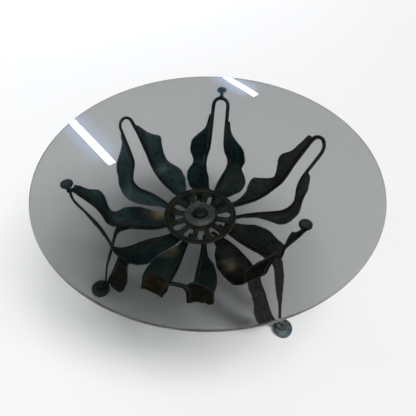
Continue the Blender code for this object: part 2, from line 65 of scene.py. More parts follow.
WINDOW_OUTER = (0.0765, 0.0120)
GROOVE = (0.0955, 0.0040, 0.0013)  # round the rim: inner radius, width, depth


def round_box(node):
    """Measures a round CAD node: the foot of its axis, its radius, and its lower and upper height."""
    low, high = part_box(node)
    return ((low.x + high.x) / 2, (low.y + high.y) / 2, 0), (high.x - low.x) / 2, low.z, high.z


def hold(piece):
    """Makes a piece the only selected one."""
    bpy.ops.object.select_all(action="DESELECT")
    piece.select_set(True)
    bpy.context.view_layer.objects.active = piece
    return piece


def new_piece(name, mesh):
    """Puts a mesh or a curve in the scene as a piece."""
    piece = bpy.data.objects.new(name, mesh)
    bpy.context.scene.collection.objects.link(piece)
    return hold(piece)


def work(piece, kind, **settings):
    """Adds a modifier to a piece and applies it."""
    hold(piece)
    modifier = piece.modifiers.new(kind.lower(), kind)
    for key, value in settings.items():
        setattr(modifier, key, value)
    bpy.ops.object.modifier_apply(modifier=modifier.name)


def open_mesh(piece):
    """Starts to edit a piece's mesh, with all of it selected."""
    hold(piece)
    bpy.ops.object.mode_set(mode="EDIT")
    bpy.ops.mesh.select_all(action="SELECT")


def close_mesh():
    """Turns the faces of the edited mesh outward and ends the editing."""
    bpy.ops.mesh.select_all(action="SELECT")
    bpy.ops.mesh.normals_make_consistent(inside=False)
    bpy.ops.object.mode_set(mode="OBJECT")


def turned(name, outline, steps, centre):
    """A piece turned on a lathe: its half outline of (radius, height) is spun round an upright line."""
    mesh = bpy.data.meshes.new(name)
    points = [(centre[0] + r, centre[1], centre[2] + z) for r, z in outline]
    mesh.from_pydata(points, [(i, i + 1) for i in range(len(points) - 1)], [])
    piece = new_piece(name, mesh)
    open_mesh(piece)
    bpy.ops.mesh.spin(steps=steps, angle=math.tau, center=centre, axis=(0, 0, 1))
    bpy.ops.mesh.select_all(action="SELECT")
    bpy.ops.mesh.remove_doubles(threshold=0.00001)
    close_mesh()
    return piece


def shade(piece, angle=35):
    """Shades a piece smooth, apart from edges sharper than an angle in degrees."""
    hold(piece)
    bpy.ops.object.shade_smooth_by_angle(angle=math.radians(angle))


def stand_for(piece, node, material, body="base"):
    """Gives a finished piece its material, and puts it in the place of a CAD node."""
    piece.data.materials.clear()
    piece.data.materials.append(material)
    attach(piece, body)
    if node:
        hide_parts(node)


class Wire:
    """One socket of a material's nodes. Sums on it add Math nodes, and node() adds any other node."""

    def __init__(self, tree, socket):
        self.tree = tree
        self.socket = socket

    def node(self, kind, settings, sockets, out=0):
        made = self.tree.nodes.new("ShaderNode" + kind)
        for key, value in settings.items():
            setattr(made, key, value)
        for key, value in sockets.items():
            if isinstance(value, Wire):
                self.tree.links.new(value.socket, made.inputs[key])
            else:
                made.inputs[key].default_value = value
        return Wire(self.tree, made.outputs[out])

    def sum(self, operation, *values):
        return self.node("Math", {"operation": operation}, dict(enumerate(values)))

    def __add__(self, other):
        return self.sum("ADD", self, other)

    def __sub__(self, other):
        return self.sum("SUBTRACT", self, other)

    def __rsub__(self, other):
        return self.sum("SUBTRACT", other, self)

    def __mul__(self, other):
        return self.sum("MULTIPLY", self, other)

    __radd__ = __add__
    __rmul__ = __mul__

    def step(self, low, high):
        """Rises smoothly from 0 to 1 between two values."""
        return self.node("MapRange", {"interpolation_type": "SMOOTHSTEP"}, {0: self, 1: low, 2: high})

    def band(self, start, full, less, stop):
        """Rises from 0 to 1 between the first two values, and falls again between the last two."""
        return self.step(start, full) - self.step(less, stop)

    def mix(self, first, second):
        """A colour between two, with this wire as the share of the second."""
        pair = [c if isinstance(c, Wire) else (*c, 1) for c in (first, second)]
        return self.node("Mix", {"data_type": "RGBA"}, {0: self, 6: pair[0], 7: pair[1]}, 2)

    def noise(self, scale, detail=3, rough=0.5, warp=0.0):
        return self.node("TexNoise", {}, {
            "Vector": self, "Scale": scale, "Detail": detail, "Roughness": rough, "Distortion": warp})

    def from_axis(self, x, y):
        """Distance from an upright line."""
        moved = self.node("VectorMath", {"operation": "SUBTRACT"}, {0: self, 1: (x, y, 0)})
        flat = self.node("VectorMath", {"operation": "MULTIPLY"}, {0: moved, 1: (1, 1, 0)})
        return self.node("VectorMath", {"operation": "LENGTH"}, {0: flat}, 1)

    def near(self, point, reach):
        """1 at a point of the piece, 0 beyond a reach from it."""
        gap = self.node("VectorMath", {"operation": "DISTANCE"}, {0: self, 1: point}, 1)
        return 1 - gap.step(0.15 * reach, reach)

    def attribute(self, name):
        return self.node("Attribute", {"attribute_name": name}, {}, 2)


def new_finish(name, **fixed):
    """A material with its even values set on the shader. Gives it, the shader and the place on the piece."""
    material = bpy.data.materials.new(name)
    material.use_nodes = True
    tree = material.node_tree
    shader = tree.nodes["Principled BSDF"]
    for key, value in fixed.items():
        shader.inputs[key.replace("_", " ")].default_value = value
    place = Wire(tree, tree.nodes.new("ShaderNodeTexCoord").outputs["Object"])
    return material, shader, place


def feed(shader, colour, rough, metal, height, deep):
    """Wires the values that change over the surface: height is in shares of deep, in metres."""
    bump = height.node("Bump", {}, {"Strength": 1.0, "Distance": deep, "Height": height})
    for key, wire in (("Base Color", colour), ("Roughness", rough), ("Metallic", metal), ("Normal", bump)):
        if wire is not None:
            wire.tree.links.new(wire.socket, shader.inputs[key])


def arc(x, z, radius, start, stop, count=5):
    """Points of a rounding in a lathe outline, by angle in degrees."""
    turns = [math.radians(start + (stop - start) * i / count) for i in range(count + 1)]
    return [(x + radius * math.cos(a), z + radius * math.sin(a)) for a in turns]


hub, wheel_radius, rim_low, wheel_top = round_box("hub_wheel")
hub_x, hub_y = hub[:2]
rim_in = wheel_radius - RIM_WIDTH
groove = [(GROOVE[0] + GROOVE[1] * i / 8, wheel_top - GROOVE[2] * (0.5 - 0.5 * math.cos(math.tau * i / 8)))
          for i in range(9)]
web_top, web_low = wheel_top - WEB_DROP, wheel_top - WEB_DROP - WEB_THICK
boss_top, rim_foot = web_top + BOSS_TALL, wheel_radius - RIM_SLOPE
ease, fillet = 0.003, 0.0015
wheel_outline = (
    [(BOLT_HOLE, boss_top)]
    + arc(BOSS_RADIUS - 0.002, boss_top - 0.002, 0.002, 90, 0)
    + arc(BOSS_RADIUS + fillet, web_top + fillet, fillet, 180, 270, 3)
    + arc(rim_in - fillet, web_top + fillet, fillet, 270, 360, 3)
    + arc(rim_in + ease, wheel_top - ease, ease, 180, 90)
    + groove
    + arc(wheel_radius - ease, wheel_top - ease, ease, 90, 0)
    + [(wheel_radius - 0.0002, wheel_top - RIM_EDGE + 0.0012),
       (wheel_radius - 0.0012, wheel_top - RIM_EDGE - 0.0008),
       (rim_foot + 0.0008, rim_low + 0.0010), (rim_foot - 0.0004, rim_low), (rim_in + 0.0004, rim_low)]
    + arc(rim_in - fillet, web_low - fillet, fillet, 0, 90, 3)
    + arc(BOSS_RADIUS + fillet, web_low - fillet, fillet, 90, 180, 3)
    + [(BOSS_RADIUS, rim_low), (BOLT_HOLE, rim_low), (BOLT_HOLE, boss_top)]
)
wheel = turned("wheel_casting", wheel_outline, WHEEL_STEPS, hub)
cores = []
lean = math.asin((WINDOW_OUTER[1] - WINDOW_INNER[1]) / (WINDOW_OUTER[0] - WINDOW_INNER[0]))
for k in range(WINDOWS):
    heading = math.radians(WINDOW_TURN) + math.tau * k / WINDOWS
    ring = []
    for (reach, radius), start, stop in (
        (WINDOW_OUTER, -math.pi / 2 - lean, math.pi / 2 + lean),
        (WINDOW_INNER, math.pi / 2 + lean, 3 * math.pi / 2 - lean),
    ):
        for i in range(13):
            a = start + (stop - start) * i / 12
            x, y = reach + radius * math.cos(a), radius * math.sin(a)
            ring.append((hub_x + x * math.cos(heading) - y * math.sin(heading),
                         hub_y + x * math.sin(heading) + y * math.cos(heading), rim_low))
    core_mesh = bpy.data.meshes.new("core")
    core_mesh.from_pydata(ring, [], [list(range(len(ring)))])
    core = new_piece("core", core_mesh)
    open_mesh(core)
    bpy.ops.mesh.extrude_region_move(TRANSFORM_OT_translate={"value": (0, 0, wheel_top - rim_low + 0.01)})
    close_mesh()
    cores.append(core)
for core in cores:
    core.select_set(True)
bpy.ops.object.join()
work(wheel, "BOOLEAN", operation="DIFFERENCE", solver="EXACT", object=core)
bpy.data.objects.remove(core, do_unlink=True)
work(wheel, "BEVEL", width=0.0014, segments=3, limit_method="ANGLE", angle_limit=math.radians(50))
shade(wheel, 40)

casting, shader, place = new_finish("old_iron_casting", Specular_IOR_Level=0.4)
blotch, sand, grit = place.noise(26, 4, 0.6, 0.4), place.noise(190, 5, 0.65), place.noise(900, 2)
olive = blotch.step(0.35, 0.65).mix((0.056, 0.066, 0.048), (0.150, 0.164, 0.126))
rust = place.noise(75, 5, 0.7, 0.6).step(0.56, 0.7)
olive = (rust * 0.25).mix(olive, (0.100, 0.078, 0.045))
olive = (sand.step(0.55, 0.75) * 0.45).mix(olive, (0.13, 0.135, 0.115))
from_middle = place.from_axis(hub_x, hub_y)
in_groove = from_middle.band(*(GROOVE[0] + out for out in (0, 0.0015, 0.0024, 0.0038)))
olive = (in_groove * 0.85).mix(olive, (0.010, 0.010, 0.008))
worn = from_middle.band(*(rim_in + out for out in (-0.0006, 0.0008, 0.0022, 0.0040)))
worn = worn + from_middle.step(wheel_radius - 0.0026, wheel_radius - 0.0012)
olive = (worn * sand.step(0.35, 0.60) * 0.45).mix(olive, (0.25, 0.24, 0.19))
# Painted shade: the web is darkened in the corner at the foot of the rim's inner wall.
painted_corner_shade = from_middle.band(*(rim_in + out for out in (-0.0040, -0.0016, -0.0014, -0.0004)))
olive = (painted_corner_shade * 0.7).mix(olive, (0.014, 0.014, 0.011))
feed(shader, olive, 0.5 + 0.25 * sand + 0.15 * rust, 0.75 - 0.45 * rust, sand * 0.7 + grit * 0.3, 0.0011)
stand_for(wheel, "hub_wheel", casting)


# Cap, bolt, washer and nut: a plain turned steel plate on the boss, held by a bolt with a domed head that
# goes right through. The lathe's rings still show on the cap, and a pale beige patch on its front is a
# painted reflection of the light from the front. The washer and nut are out of sight under the wheel.
RECESS = (0.0196, 0.0226, 0.0014)  # a groove round the bolt's head: inner and outer radius, depth
# Where the painted reflection of the front light lies on the cap:
FRONT_REFLECTION_SPOT = (0.006, -0.036, 0.034)  # to the right of and behind the wheel's middle, and how far it reaches
SHANK = 0.008  # the bolt's radius below its head
PITCH, THREAD_TURNS = 0.002, 9
CAP_STEPS, BOLT_STEPS, NUT_STEPS = 128, 64, 72
_, cap_radius, cap_low, cap_top = round_box("hub_cap")
cap = turned(
    "centre_cap",
    [(BOLT_HOLE, cap_low), (BOLT_HOLE, cap_top)]
    + [(RECESS[0], cap_top), (RECESS[0] + 0.0003, cap_top - RECESS[2]),
       (RECESS[1] - 0.0005, cap_top - RECESS[2]), (RECESS[1], cap_top)]
    + arc(cap_radius - 0.0052, cap_top - 0.006, 0.006, 88, 30)
    + arc(cap_radius - 0.001, cap_low + 0.001, 0.001, 0, -90, 3)
    + [(BOLT_HOLE, cap_low)],
    CAP_STEPS, hub,
)
shade(cap, 40)
turned_steel, shader, place = new_finish("turned_blackened_steel", Specular_IOR_Level=0.5)
radius = place.from_axis(hub_x, hub_y)
turns = radius * 5200 + place.noise(40, 2) * 5
rings = turns.sum("SINE", turns)
stain, fine = place.noise(55, 5, 0.6, 0.8), place.noise(420, 4)
tone = stain.step(0.35, 0.68).mix((0.170, 0.210, 0.196), (0.380, 0.410, 0.370))
tone = (radius.step(0.0335, 0.038) * 0.6).mix(tone, (0.374, 0.408, 0.374))
# Painted shadow: the cap is painted near black in the recess round the bolt's head and under the head.
tone = (1 - radius.step(RECESS[1] - 0.0005, RECESS[1] + 0.0006)).mix(tone, (0.012, 0.013, 0.012))
tone = (fine.step(0.6, 0.75) * 0.4).mix(tone, (0.19, 0.195, 0.185))
# Painted reflection: a pale beige patch on the cap's front, where light from the front is mirrored.
painted_reflection = place.near((hub_x + FRONT_REFLECTION_SPOT[0], hub_y + FRONT_REFLECTION_SPOT[1], cap_top), FRONT_REFLECTION_SPOT[2])
painted_reflection = painted_reflection * place.noise(130, 4, 0.6).step(0.3, 0.6)
tone = (painted_reflection * 0.8).mix(tone, (0.578, 0.552, 0.459))
shine = 0.95 - 0.3 * fine.step(0.6, 0.8)
feed(shader, tone, 0.32 + 0.22 * stain, shine, rings * 0.25 + fine * 0.75, 0.00035)
stand_for(cap, "hub_cap", turned_steel)

_, head_radius, bolt_low, bolt_top = round_box("hub_bolt")
head_low = cap_top + 0.0003
head_tall = bolt_top - head_low
dome = [(head_radius * math.sin(a) ** 0.85, head_low + head_tall * math.cos(a) ** 0.6)
        for a in [math.pi / 2 * i / 16 for i in range(16)]]
bolt = turned(
    "dome_bolt",
    dome + [(head_radius, head_low), (SHANK - 0.0006, head_low), (SHANK - 0.0006, bolt_low + 0.001),
            (SHANK - 0.0018, bolt_low), (0, bolt_low)],
    BOLT_STEPS, hub,
)
thread_mesh = bpy.data.meshes.new("thread")
tooth = [(SHANK - 0.0010, 0, 0), (SHANK - 0.0001, 0, 0.45 * PITCH), (SHANK - 0.0010, 0, 0.9 * PITCH)]
thread_mesh.from_pydata(tooth, [(0, 1), (1, 2), (2, 0)], [])
thread = new_piece("thread", thread_mesh)
work(thread, "SCREW", axis="Z", angle=math.tau, screw_offset=PITCH, iterations=THREAD_TURNS, steps=32,
     render_steps=32)
open_mesh(thread)
bpy.ops.transform.translate(value=(hub_x, hub_y, bolt_low + 0.0015))
bpy.ops.mesh.fill_holes(sides=4)
close_mesh()
hold(bolt)
thread.select_set(True)
bpy.ops.object.join()
shade(bolt, 35)
bolt_steel, shader, place = new_finish("dark_bolt_steel", Specular_IOR_Level=0.5)
stain, fine = place.noise(80, 5, 0.6, 0.5), place.noise(600, 4)
tone = stain.step(0.35, 0.7).mix((0.038, 0.059, 0.061), (0.095, 0.122, 0.122))
tone = (fine.step(0.58, 0.75) * 0.5).mix(tone, (0.11, 0.12, 0.115))
feed(shader, tone, 0.3 + 0.25 * stain, 0.95 - 0.3 * stain, fine * 0.8 + stain * 0.2, 0.0004)
stand_for(bolt, "hub_bolt", bolt_steel)

_, radius, low, top = round_box("hub_washer")
washer = turned(
    "flat_washer",
    [(BOLT_HOLE, low), (BOLT_HOLE, top)] + arc(radius - 0.0008, top - 0.0008, 0.0008, 90, 0, 3)
    + [(radius, low + 0.0003), (radius - 0.0003, low), (BOLT_HOLE, low)],
    NUT_STEPS, hub,
)
shade(washer)
stand_for(washer, "hub_washer", bolt_steel)

_, radius, low, top = round_box("hub_nut")
half_tall, middle, flat = (top - low) / 2, (low + top) / 2, radius * math.cos(math.pi / 6)
bpy.ops.object.select_all(action="DESELECT")
bpy.ops.mesh.primitive_cylinder_add(vertices=6, radius=radius, depth=top - low)
nut = bpy.context.object
nut.name = "hex_nut"
open_mesh(nut)
bpy.ops.transform.rotate(value=math.pi / 6, orient_axis="Z", center_override=(0, 0, 0))
bpy.ops.transform.translate(value=(hub_x, hub_y, middle))
close_mesh()
blank = turned(
    "nut_blank",
    [(BOLT_HOLE, -half_tall), (BOLT_HOLE, half_tall), (flat, half_tall),
     (radius + 0.0006, half_tall - 0.0016), (radius + 0.0006, 0.0016 - half_tall),
     (flat, -half_tall), (BOLT_HOLE, -half_tall)],
    NUT_STEPS, (hub_x, hub_y, middle),
)
work(nut, "BOOLEAN", operation="INTERSECT", solver="EXACT", object=blank)
bpy.data.objects.remove(blank, do_unlink=True)
shade(nut, 20)
stand_for(nut, "hub_nut", bolt_steel)


# Hairpin bars: flat hot-rolled steel bent round on edge, one for each arm and a smaller one for each leg.
# The rollers left the edges round, and the scale on the faces is blue grey, burnt brown where it faces away.
# The arms' bars are welded under the hub's rim, and the legs' bars under the arms.
EDGE_BEND = 0.35  # faces that meet at more than this, in radians, make an edge


def copied(node, name):
    """A merged copy of a CAD solid with its triangles joined to quads, to be worked on."""
    piece = new_piece(name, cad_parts[node].data.copy())
    bpy.ops.mesh.customdata_custom_splitnormals_clear()
    open_mesh(piece)
    bpy.ops.mesh.remove_doubles(threshold=0.00002)
    bpy.ops.mesh.tris_convert_to_quads(face_threshold=math.radians(40), shape_threshold=math.radians(80))
    bpy.ops.object.mode_set(mode="OBJECT")
    return piece


def sharp_edges(piece, angle):
    """Selects a piece's sharp edges, and stays in edit mode."""
    hold(piece)
    bpy.ops.object.mode_set(mode="EDIT")
    bpy.ops.mesh.select_mode(type="EDGE")
    bpy.ops.mesh.select_all(action="DESELECT")
    bpy.ops.mesh.edges_select_sharp(sharpness=math.radians(angle))


def smoothed(piece, crease, levels):
    """Rounds a coarse piece, with its sharp edges held back by a crease."""
    sharp_edges(piece, 50)
    bpy.ops.transform.edge_crease(value=crease)
    bpy.ops.object.mode_set(mode="OBJECT")
    work(piece, "SUBSURF", levels=levels, render_levels=levels)


def mark(piece, name, values):
    """Stores one number for each vertex, for the material to read."""
    layer = piece.data.attributes.new(name, "FLOAT", "POINT")
    layer.data.foreach_set("value", np.asarray(values, np.float32))


def outward(point):
    """The way out of the base at a point: away from its middle, and down."""
    return Vector((point.x - hub_x, point.y - hub_y, 0)).normalized() * 0.8 + Vector((0, 0, -0.6))


def mark_sides(piece):
    """Marks which way the surface looks, 1 away from the middle of the base, and how far an edge is."""
    sides = [min(1, max(0, 0.5 + 2.2 * v.normal.dot(outward(v.co)))) for v in piece.data.vertices]
    mark(piece, "outer_side", sides)
    bm = bmesh.new()
    bm.from_mesh(piece.data)
    edge_verts = {v.index for e in bm.edges if e.calc_face_angle(0) > EDGE_BEND for v in e.verts}
    bm.free()
    tree = KDTree(len(edge_verts))
    for i in edge_verts:
        tree.insert(piece.data.vertices[i].co, i)
    tree.balance()
    mark(piece, "from_edge", [tree.find(v.co)[2] if edge_verts else 1 for v in piece.data.vertices])


# Near black: soot on the scale and by the welds, and painted shadow in the spots on arm 3.
SOOT_AND_SHADE = (0.009, 0.009, 0.008)
STREAK = (0.16, 0.008, 0.16)  # a streak's length along the arm, its width and its height


def burnt_steel(name, heading, cool, pale, warm, rub_and_highlight, seam_line, tint_and_shade_spots=()):
    """Blackened steel: scale on one side, burnt brown on the other, streaks along the arm, edges lightened as
    wear and as painted highlights, a line and a tint next to the welds, and the torch's colours and painted
    shade round the points given."""
    material, shader, place = new_finish(name, Specular_IOR_Level=0.25, Specular_Tint=(0.35, 0.36, 0.36, 1))
    along = place.node("Mapping", {"vector_type": "TEXTURE"}, {
        "Vector": place, "Location": (hub_x, hub_y, 0), "Rotation": (0, 0, math.radians(heading)),
        "Scale": STREAK})
    streak, cloud = along.noise(1, 4, 0.65, 0.3), place.noise(13, 3, 0.5, 0.3)
    flakes, fine = place.noise(64, 6, 0.62, 0.5), place.noise(430, 4)
    outer, edge, seam = (place.attribute(n) for n in ("outer_side", "from_edge", "from_seam"))
    tone = (cloud * 0.6 + streak * 0.4).step(0.38, 0.62).mix(cool, pale)
    tone = (flakes.step(0.52, 0.72) * 0.6).mix(tone, SOOT_AND_SHADE)
    burnt = (flakes * 0.6 + streak * 0.4).step(0.38, 0.64).mix(warm, tuple(0.4 * c for c in warm))
    tone = (outer + 0.35 * (cloud - 0.5)).step(0.35, 0.65).mix(tone, burnt)
    # The spots are torch tints, and on arm 3 painted shadow.
    for point, reach, tint in tint_and_shade_spots:
        patchy = 0.4 + 0.6 * place.noise(60, 4, 0.6).step(0.32, 0.62)
        tone = (place.near(point, reach) * patchy).mix(tone, tint)
    tinted = (1 - seam.step(0.004, 0.014)) * cloud.step(0.3, 0.6) * (1 - outer) * 0.5
    tone = tinted.mix(tone, (0.072, 0.056, 0.036))
    along_seam = (1 - seam.step(0.0010, 0.0036)) * place.noise(70, 3).step(0.30, 0.50) * (1 - outer) * 0.9
    tone = along_seam.mix(tone, seam_line)
    # Lighter edges: rubbed wear, and also painted highlights along the edges.
    rubbed_and_highlit = (1 - edge.step(0.0004, 0.0022)) * place.noise(120, 3).step(0.36, 0.58) * rub_and_highlight
    tone = rubbed_and_highlit.mix(tone, (0.16, 0.18, 0.18))
    tone = (fine.step(0.6, 0.76) * (1 - outer) * 0.3).mix(tone, pale)
    rough = 0.41 + 0.22 * flakes + 0.16 * streak + 0.12 * outer - 0.1 * rubbed_and_highlit
    metal = 0.98 - 0.15 * flakes
    feed(shader, tone, rough, metal, fine * 0.3 + flakes * 0.5 + streak * 0.2, 0.0010)
    return material


# Each arm's heading in degrees, its scale's colour, its rubbed colour and its burnt outer side's colour.
ARM_TONES = {
    1: (77, (0.019, 0.051, 0.055), (0.069, 0.132, 0.144), (0.014, 0.016, 0.014)),
    2: (17, (0.070, 0.081, 0.070), (0.147, 0.165, 0.147), (0.018, 0.018, 0.015)),
    3: (317, (0.052, 0.062, 0.052), (0.122, 0.136, 0.113), (0.028, 0.028, 0.020)),
    4: (257, (0.031, 0.061, 0.058), (0.075, 0.122, 0.114), (0.046, 0.036, 0.014)),
    5: (197, (0.058, 0.107, 0.105), (0.145, 0.235, 0.229), (0.016, 0.017, 0.014)),
    6: (137, (0.090, 0.158, 0.171), (0.186, 0.279, 0.295), (0.016, 0.020, 0.018)),
}
LEG_TONES = {
    1: (77, (0.026, 0.036, 0.039), (0.052, 0.068, 0.070), (0.026, 0.029, 0.026)),
    2: (317, (0.078, 0.081, 0.074), (0.137, 0.139, 0.129), (0.100, 0.100, 0.088)),
    3: (197, (0.034, 0.043, 0.039), (0.065, 0.081, 0.075), (0.043, 0.047, 0.036)),
}
LIMB_TONES = {(limb, i): tones for limb, table in (("arm", ARM_TONES), ("leg", LEG_TONES))
              for i, tones in table.items()}
# Painted light and shade: the bars are copies of their plates' steel, painted darker as if in shade, and arm
# 1's lighter.
BAR_LIGHT_AND_SHADE = {("arm", 1): 1.3, ("leg", 2): 0.8}  # these bars are this much as light as their plates
OTHER_BARS_SHADE = 0.45  # and the others this much
hairpins = {}
for (limb, number), (heading, *tones) in LIMB_TONES.items():
    node = f"{limb}_bar_{number}"
    share = BAR_LIGHT_AND_SHADE.get((limb, number), OTHER_BARS_SHADE)
    tones = [tuple(share * c for c in tone) for tone in tones]
    steel = burnt_steel(f"{limb}_bar_steel_{number}", heading, *tones, 0.9, SOOT_AND_SHADE)
    hairpin = hairpins[limb, number] = copied(node, f"{limb}_hairpin_{number}")
    smoothed(hairpin, 0.72, 2)
    mark_sides(hairpin)
    shade(hairpin, 60)
    stand_for(hairpin, node, steel)


# Petals: leaf-shaped plates cut by torch from 4 mm sheet and welded along the outer sides of the hairpins.
# The sheet is slightly wavy from the heat, its cut edges are ragged, and the torch left straw and brown tints
# and slag at the front arm's bend.
PLATE_LEVEL = 0.241  # height of the plates between the hub and the bends
TORCH_TINTS_AND_SHADE = {  # tints on the plates of some arms, and painted shadow on arm 3: where, how far they reach, and their colour
    1: [((0.0767, 0.197), 0.085, (0.182, 0.217, 0.182))],
    # Arm 3: a tan tint, then four spots of painted shadow along a petal's outer edge.
    3: [((0.0540, -0.1235), 0.032, (0.500, 0.400, 0.250)), ((0.0237, -0.0983), 0.020, SOOT_AND_SHADE),
        ((0.0365, -0.1298), 0.024, SOOT_AND_SHADE), ((0.0567, -0.1570), 0.026, SOOT_AND_SHADE), ((0.0817, -0.1747), 0.026, SOOT_AND_SHADE)],
    4: [((-0.1008, -0.0739), 0.032, (0.420, 0.378, 0.224)),
        ((-0.118, -0.0821), 0.026, (0.238, 0.224, 0.154))],
    5: [((-0.165, 0.068), 0.050, (0.225, 0.188, 0.120)), ((-0.138, 0.061), 0.040, (0.95, 0.68, 0.39))],
}
# Painted shade: these petals are darker copies of their partners' steel.
PETAL_SHADE = {("arm", 4, "left"): 0.7, ("arm", 5, "left"): 0.45}  # darker than their partners
SEAM_LINE = (0.115, 0.120, 0.100)
wave = bpy.data.textures.new("heat_wave", "CLOUDS")
wave.noise_scale = 0.055
nick = bpy.data.textures.new("torch_nick", "CLOUDS")
nick.noise_scale = 0.0055
nick.noise_depth = 3
tear = bpy.data.textures.new("torn_tip", "CLOUDS")
tear.noise_scale = 0.012
WAVE_DEEP, NICK_DEEP, SLAG_DEEP = 0.0016, 0.006, 0.026
SLAG_ON = ("arm", 4)
SLAG_FROM, SLAG_UNDER = 0.262, 0.33  # it lies outside this radius and under this height
SLAG_EASE = 0.012  # over which it grows
SLAG_CLEAR = 0.016  # from the bar, where it is full


def skin(*nodes):
    """The surface of some CAD solids, to measure distances from."""
    points, faces = [], []
    for node in nodes:
        mesh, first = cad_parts[node].data, len(points)
        points += [v.co.copy() for v in mesh.vertices]
        faces += [[first + i for i in face.vertices] for face in mesh.polygons]
    return BVHTree.FromPolygons(points, faces)


def mark_seam(piece, other):
    """Marks how far the surface is from the piece that it is welded to."""
    mark(piece, "from_seam", [other.find_nearest(v.co)[3] for v in piece.data.vertices])


for (limb, number), hairpin in hairpins.items():
    heading, *tones = LIMB_TONES[limb, number]
    spots = TORCH_TINTS_AND_SHADE.get(number, ()) if limb == "arm" else ()
    tint_and_shade_spots = [((*spot, PLATE_LEVEL), reach, tint) for spot, reach, tint in spots]
    mark_seam(hairpin, skin(*(f"{limb}_leaf_{number}_{hand}" for hand in ("left", "right"))))
    bar_skin = skin(f"{limb}_bar_{number}")
    for hand in ("left", "right"):
        node = f"{limb}_leaf_{number}_{hand}"
        share = PETAL_SHADE.get((limb, number, hand), 1.0)
        plate = burnt_steel(f"{limb}_plate_{number}_{hand}", heading,
                            *(tuple(share * c for c in tone) for tone in tones), 0.35, SEAM_LINE, tint_and_shade_spots)
        petal = copied(node, node.replace("leaf", "petal"))
        smoothed(petal, 0.9, 3)
        sharp_edges(petal, 35)
        bpy.ops.object.mode_set(mode="OBJECT")
        cut = petal.vertex_groups.new(name="cut_edge")
        cut.add([v.index for v in petal.data.vertices if v.select], 1.0, "REPLACE")
        work(petal, "DISPLACE", texture=nick, strength=NICK_DEEP, mid_level=0.5, vertex_group="cut_edge",
             texture_coords="GLOBAL")
        if (limb, number) == SLAG_ON:
            slag = petal.vertex_groups.new(name="slag")
            for v in petal.data.vertices:
                out = math.hypot(v.co.x - hub_x, v.co.y - hub_y)
                if SLAG_FROM < out and v.co.z < SLAG_UNDER:
                    free = min(1.0, bar_skin.find_nearest(v.co)[3] / SLAG_CLEAR)
                    slag.add([v.index], free * min(1.0, (out - SLAG_FROM) / SLAG_EASE), "REPLACE")
            work(petal, "DISPLACE", texture=tear, strength=SLAG_DEEP, mid_level=0.5, vertex_group="slag",
                 direction="Z", texture_coords="GLOBAL")
        work(petal, "DISPLACE", texture=wave, strength=WAVE_DEEP, mid_level=0.5, direction="Z",
             texture_coords="GLOBAL")
        mark_sides(petal)
        mark_seam(petal, bar_skin)
        shade(petal, 40)
        stand_for(petal, node, plate)


# Welds: rippled beads laid by hand, in stitches along the outer side of each seam between a hairpin and its
# petals, and under the hub's rim along the root of each arm. They are bare steel, burnt brown in places.
BEAD = 2.0  # radius of a bead, in mm
RIPPLE = 0.0012
STITCH, STITCH_GAP = 0.018, 0.040
SEAM_GAP = 0.0009  # a petal's points this near to the bar are on its seam
RIM_BEAD = (rim_foot + 0.0022, rim_low + 0.0008)  # radius and height of the beads under the rim
ROOT_ZONE = 0.016  # points this near to the rim show how wide an arm's root is
weld_finish, shader, place = new_finish("weld_bead", Specular_IOR_Level=0.5)
burn, fine = place.noise(110, 4, 0.6), place.noise(700, 3)
tone = burn.step(0.36, 0.64).mix((0.030, 0.034, 0.036), (0.085, 0.075, 0.060))
tone = (fine.step(0.55, 0.75) * 0.5).mix(tone, (0.15, 0.16, 0.165))
feed(shader, tone, 0.35 + 0.3 * burn, 0.9 - 0.3 * fine, fine, 0.0004)


def in_order(points):
    """Puts the points of a seam in order, from the one nearest to the middle of the hub."""
    rest = sorted(points, key=lambda p: math.hypot(p.x - hub_x, p.y - hub_y))
    line = [rest.pop(0)]
    while rest:
        rest.sort(key=lambda p: (p - line[-1]).length)
        line.append(rest.pop(0))
    return line


def between(line, start, stop):
    """Points a ripple apart on a line, from one distance along it to another."""
    found, gone = [], 0.0
    for a, b in zip(line, line[1:]):
        length = (b - a).length
        while gone <= start <= min(stop, gone + length):
            found.append(a.lerp(b, (start - gone) / length))
            start += RIPPLE / 2
        gone += length
    return found


def weld(name, beads):
    """A piece of weld beads, each a line of points."""
    curve = bpy.data.curves.new(name, "CURVE")
    curve.dimensions = "3D"
    curve.bevel_depth = 0.001
    curve.bevel_resolution = 2
    curve.use_fill_caps = True
    for line in beads:
        spline = curve.splines.new("POLY")
        spline.points.add(len(line) - 1)
        for i, (point, co) in enumerate(zip(spline.points, line)):
            end = min(1.0, 0.3 + 0.35 * min(i, len(line) - 1 - i))
            point.co = (*co, 1)
            point.radius = BEAD * end * (1.0 if i % 2 else 0.84)
    bead = new_piece(name, curve)
    bpy.ops.object.convert(target="MESH")
    bead = bpy.context.object
    open_mesh(bead)
    bpy.ops.mesh.remove_doubles(threshold=0.00002)
    close_mesh()
    shade(bead, 60)
    stand_for(bead, None, weld_finish)


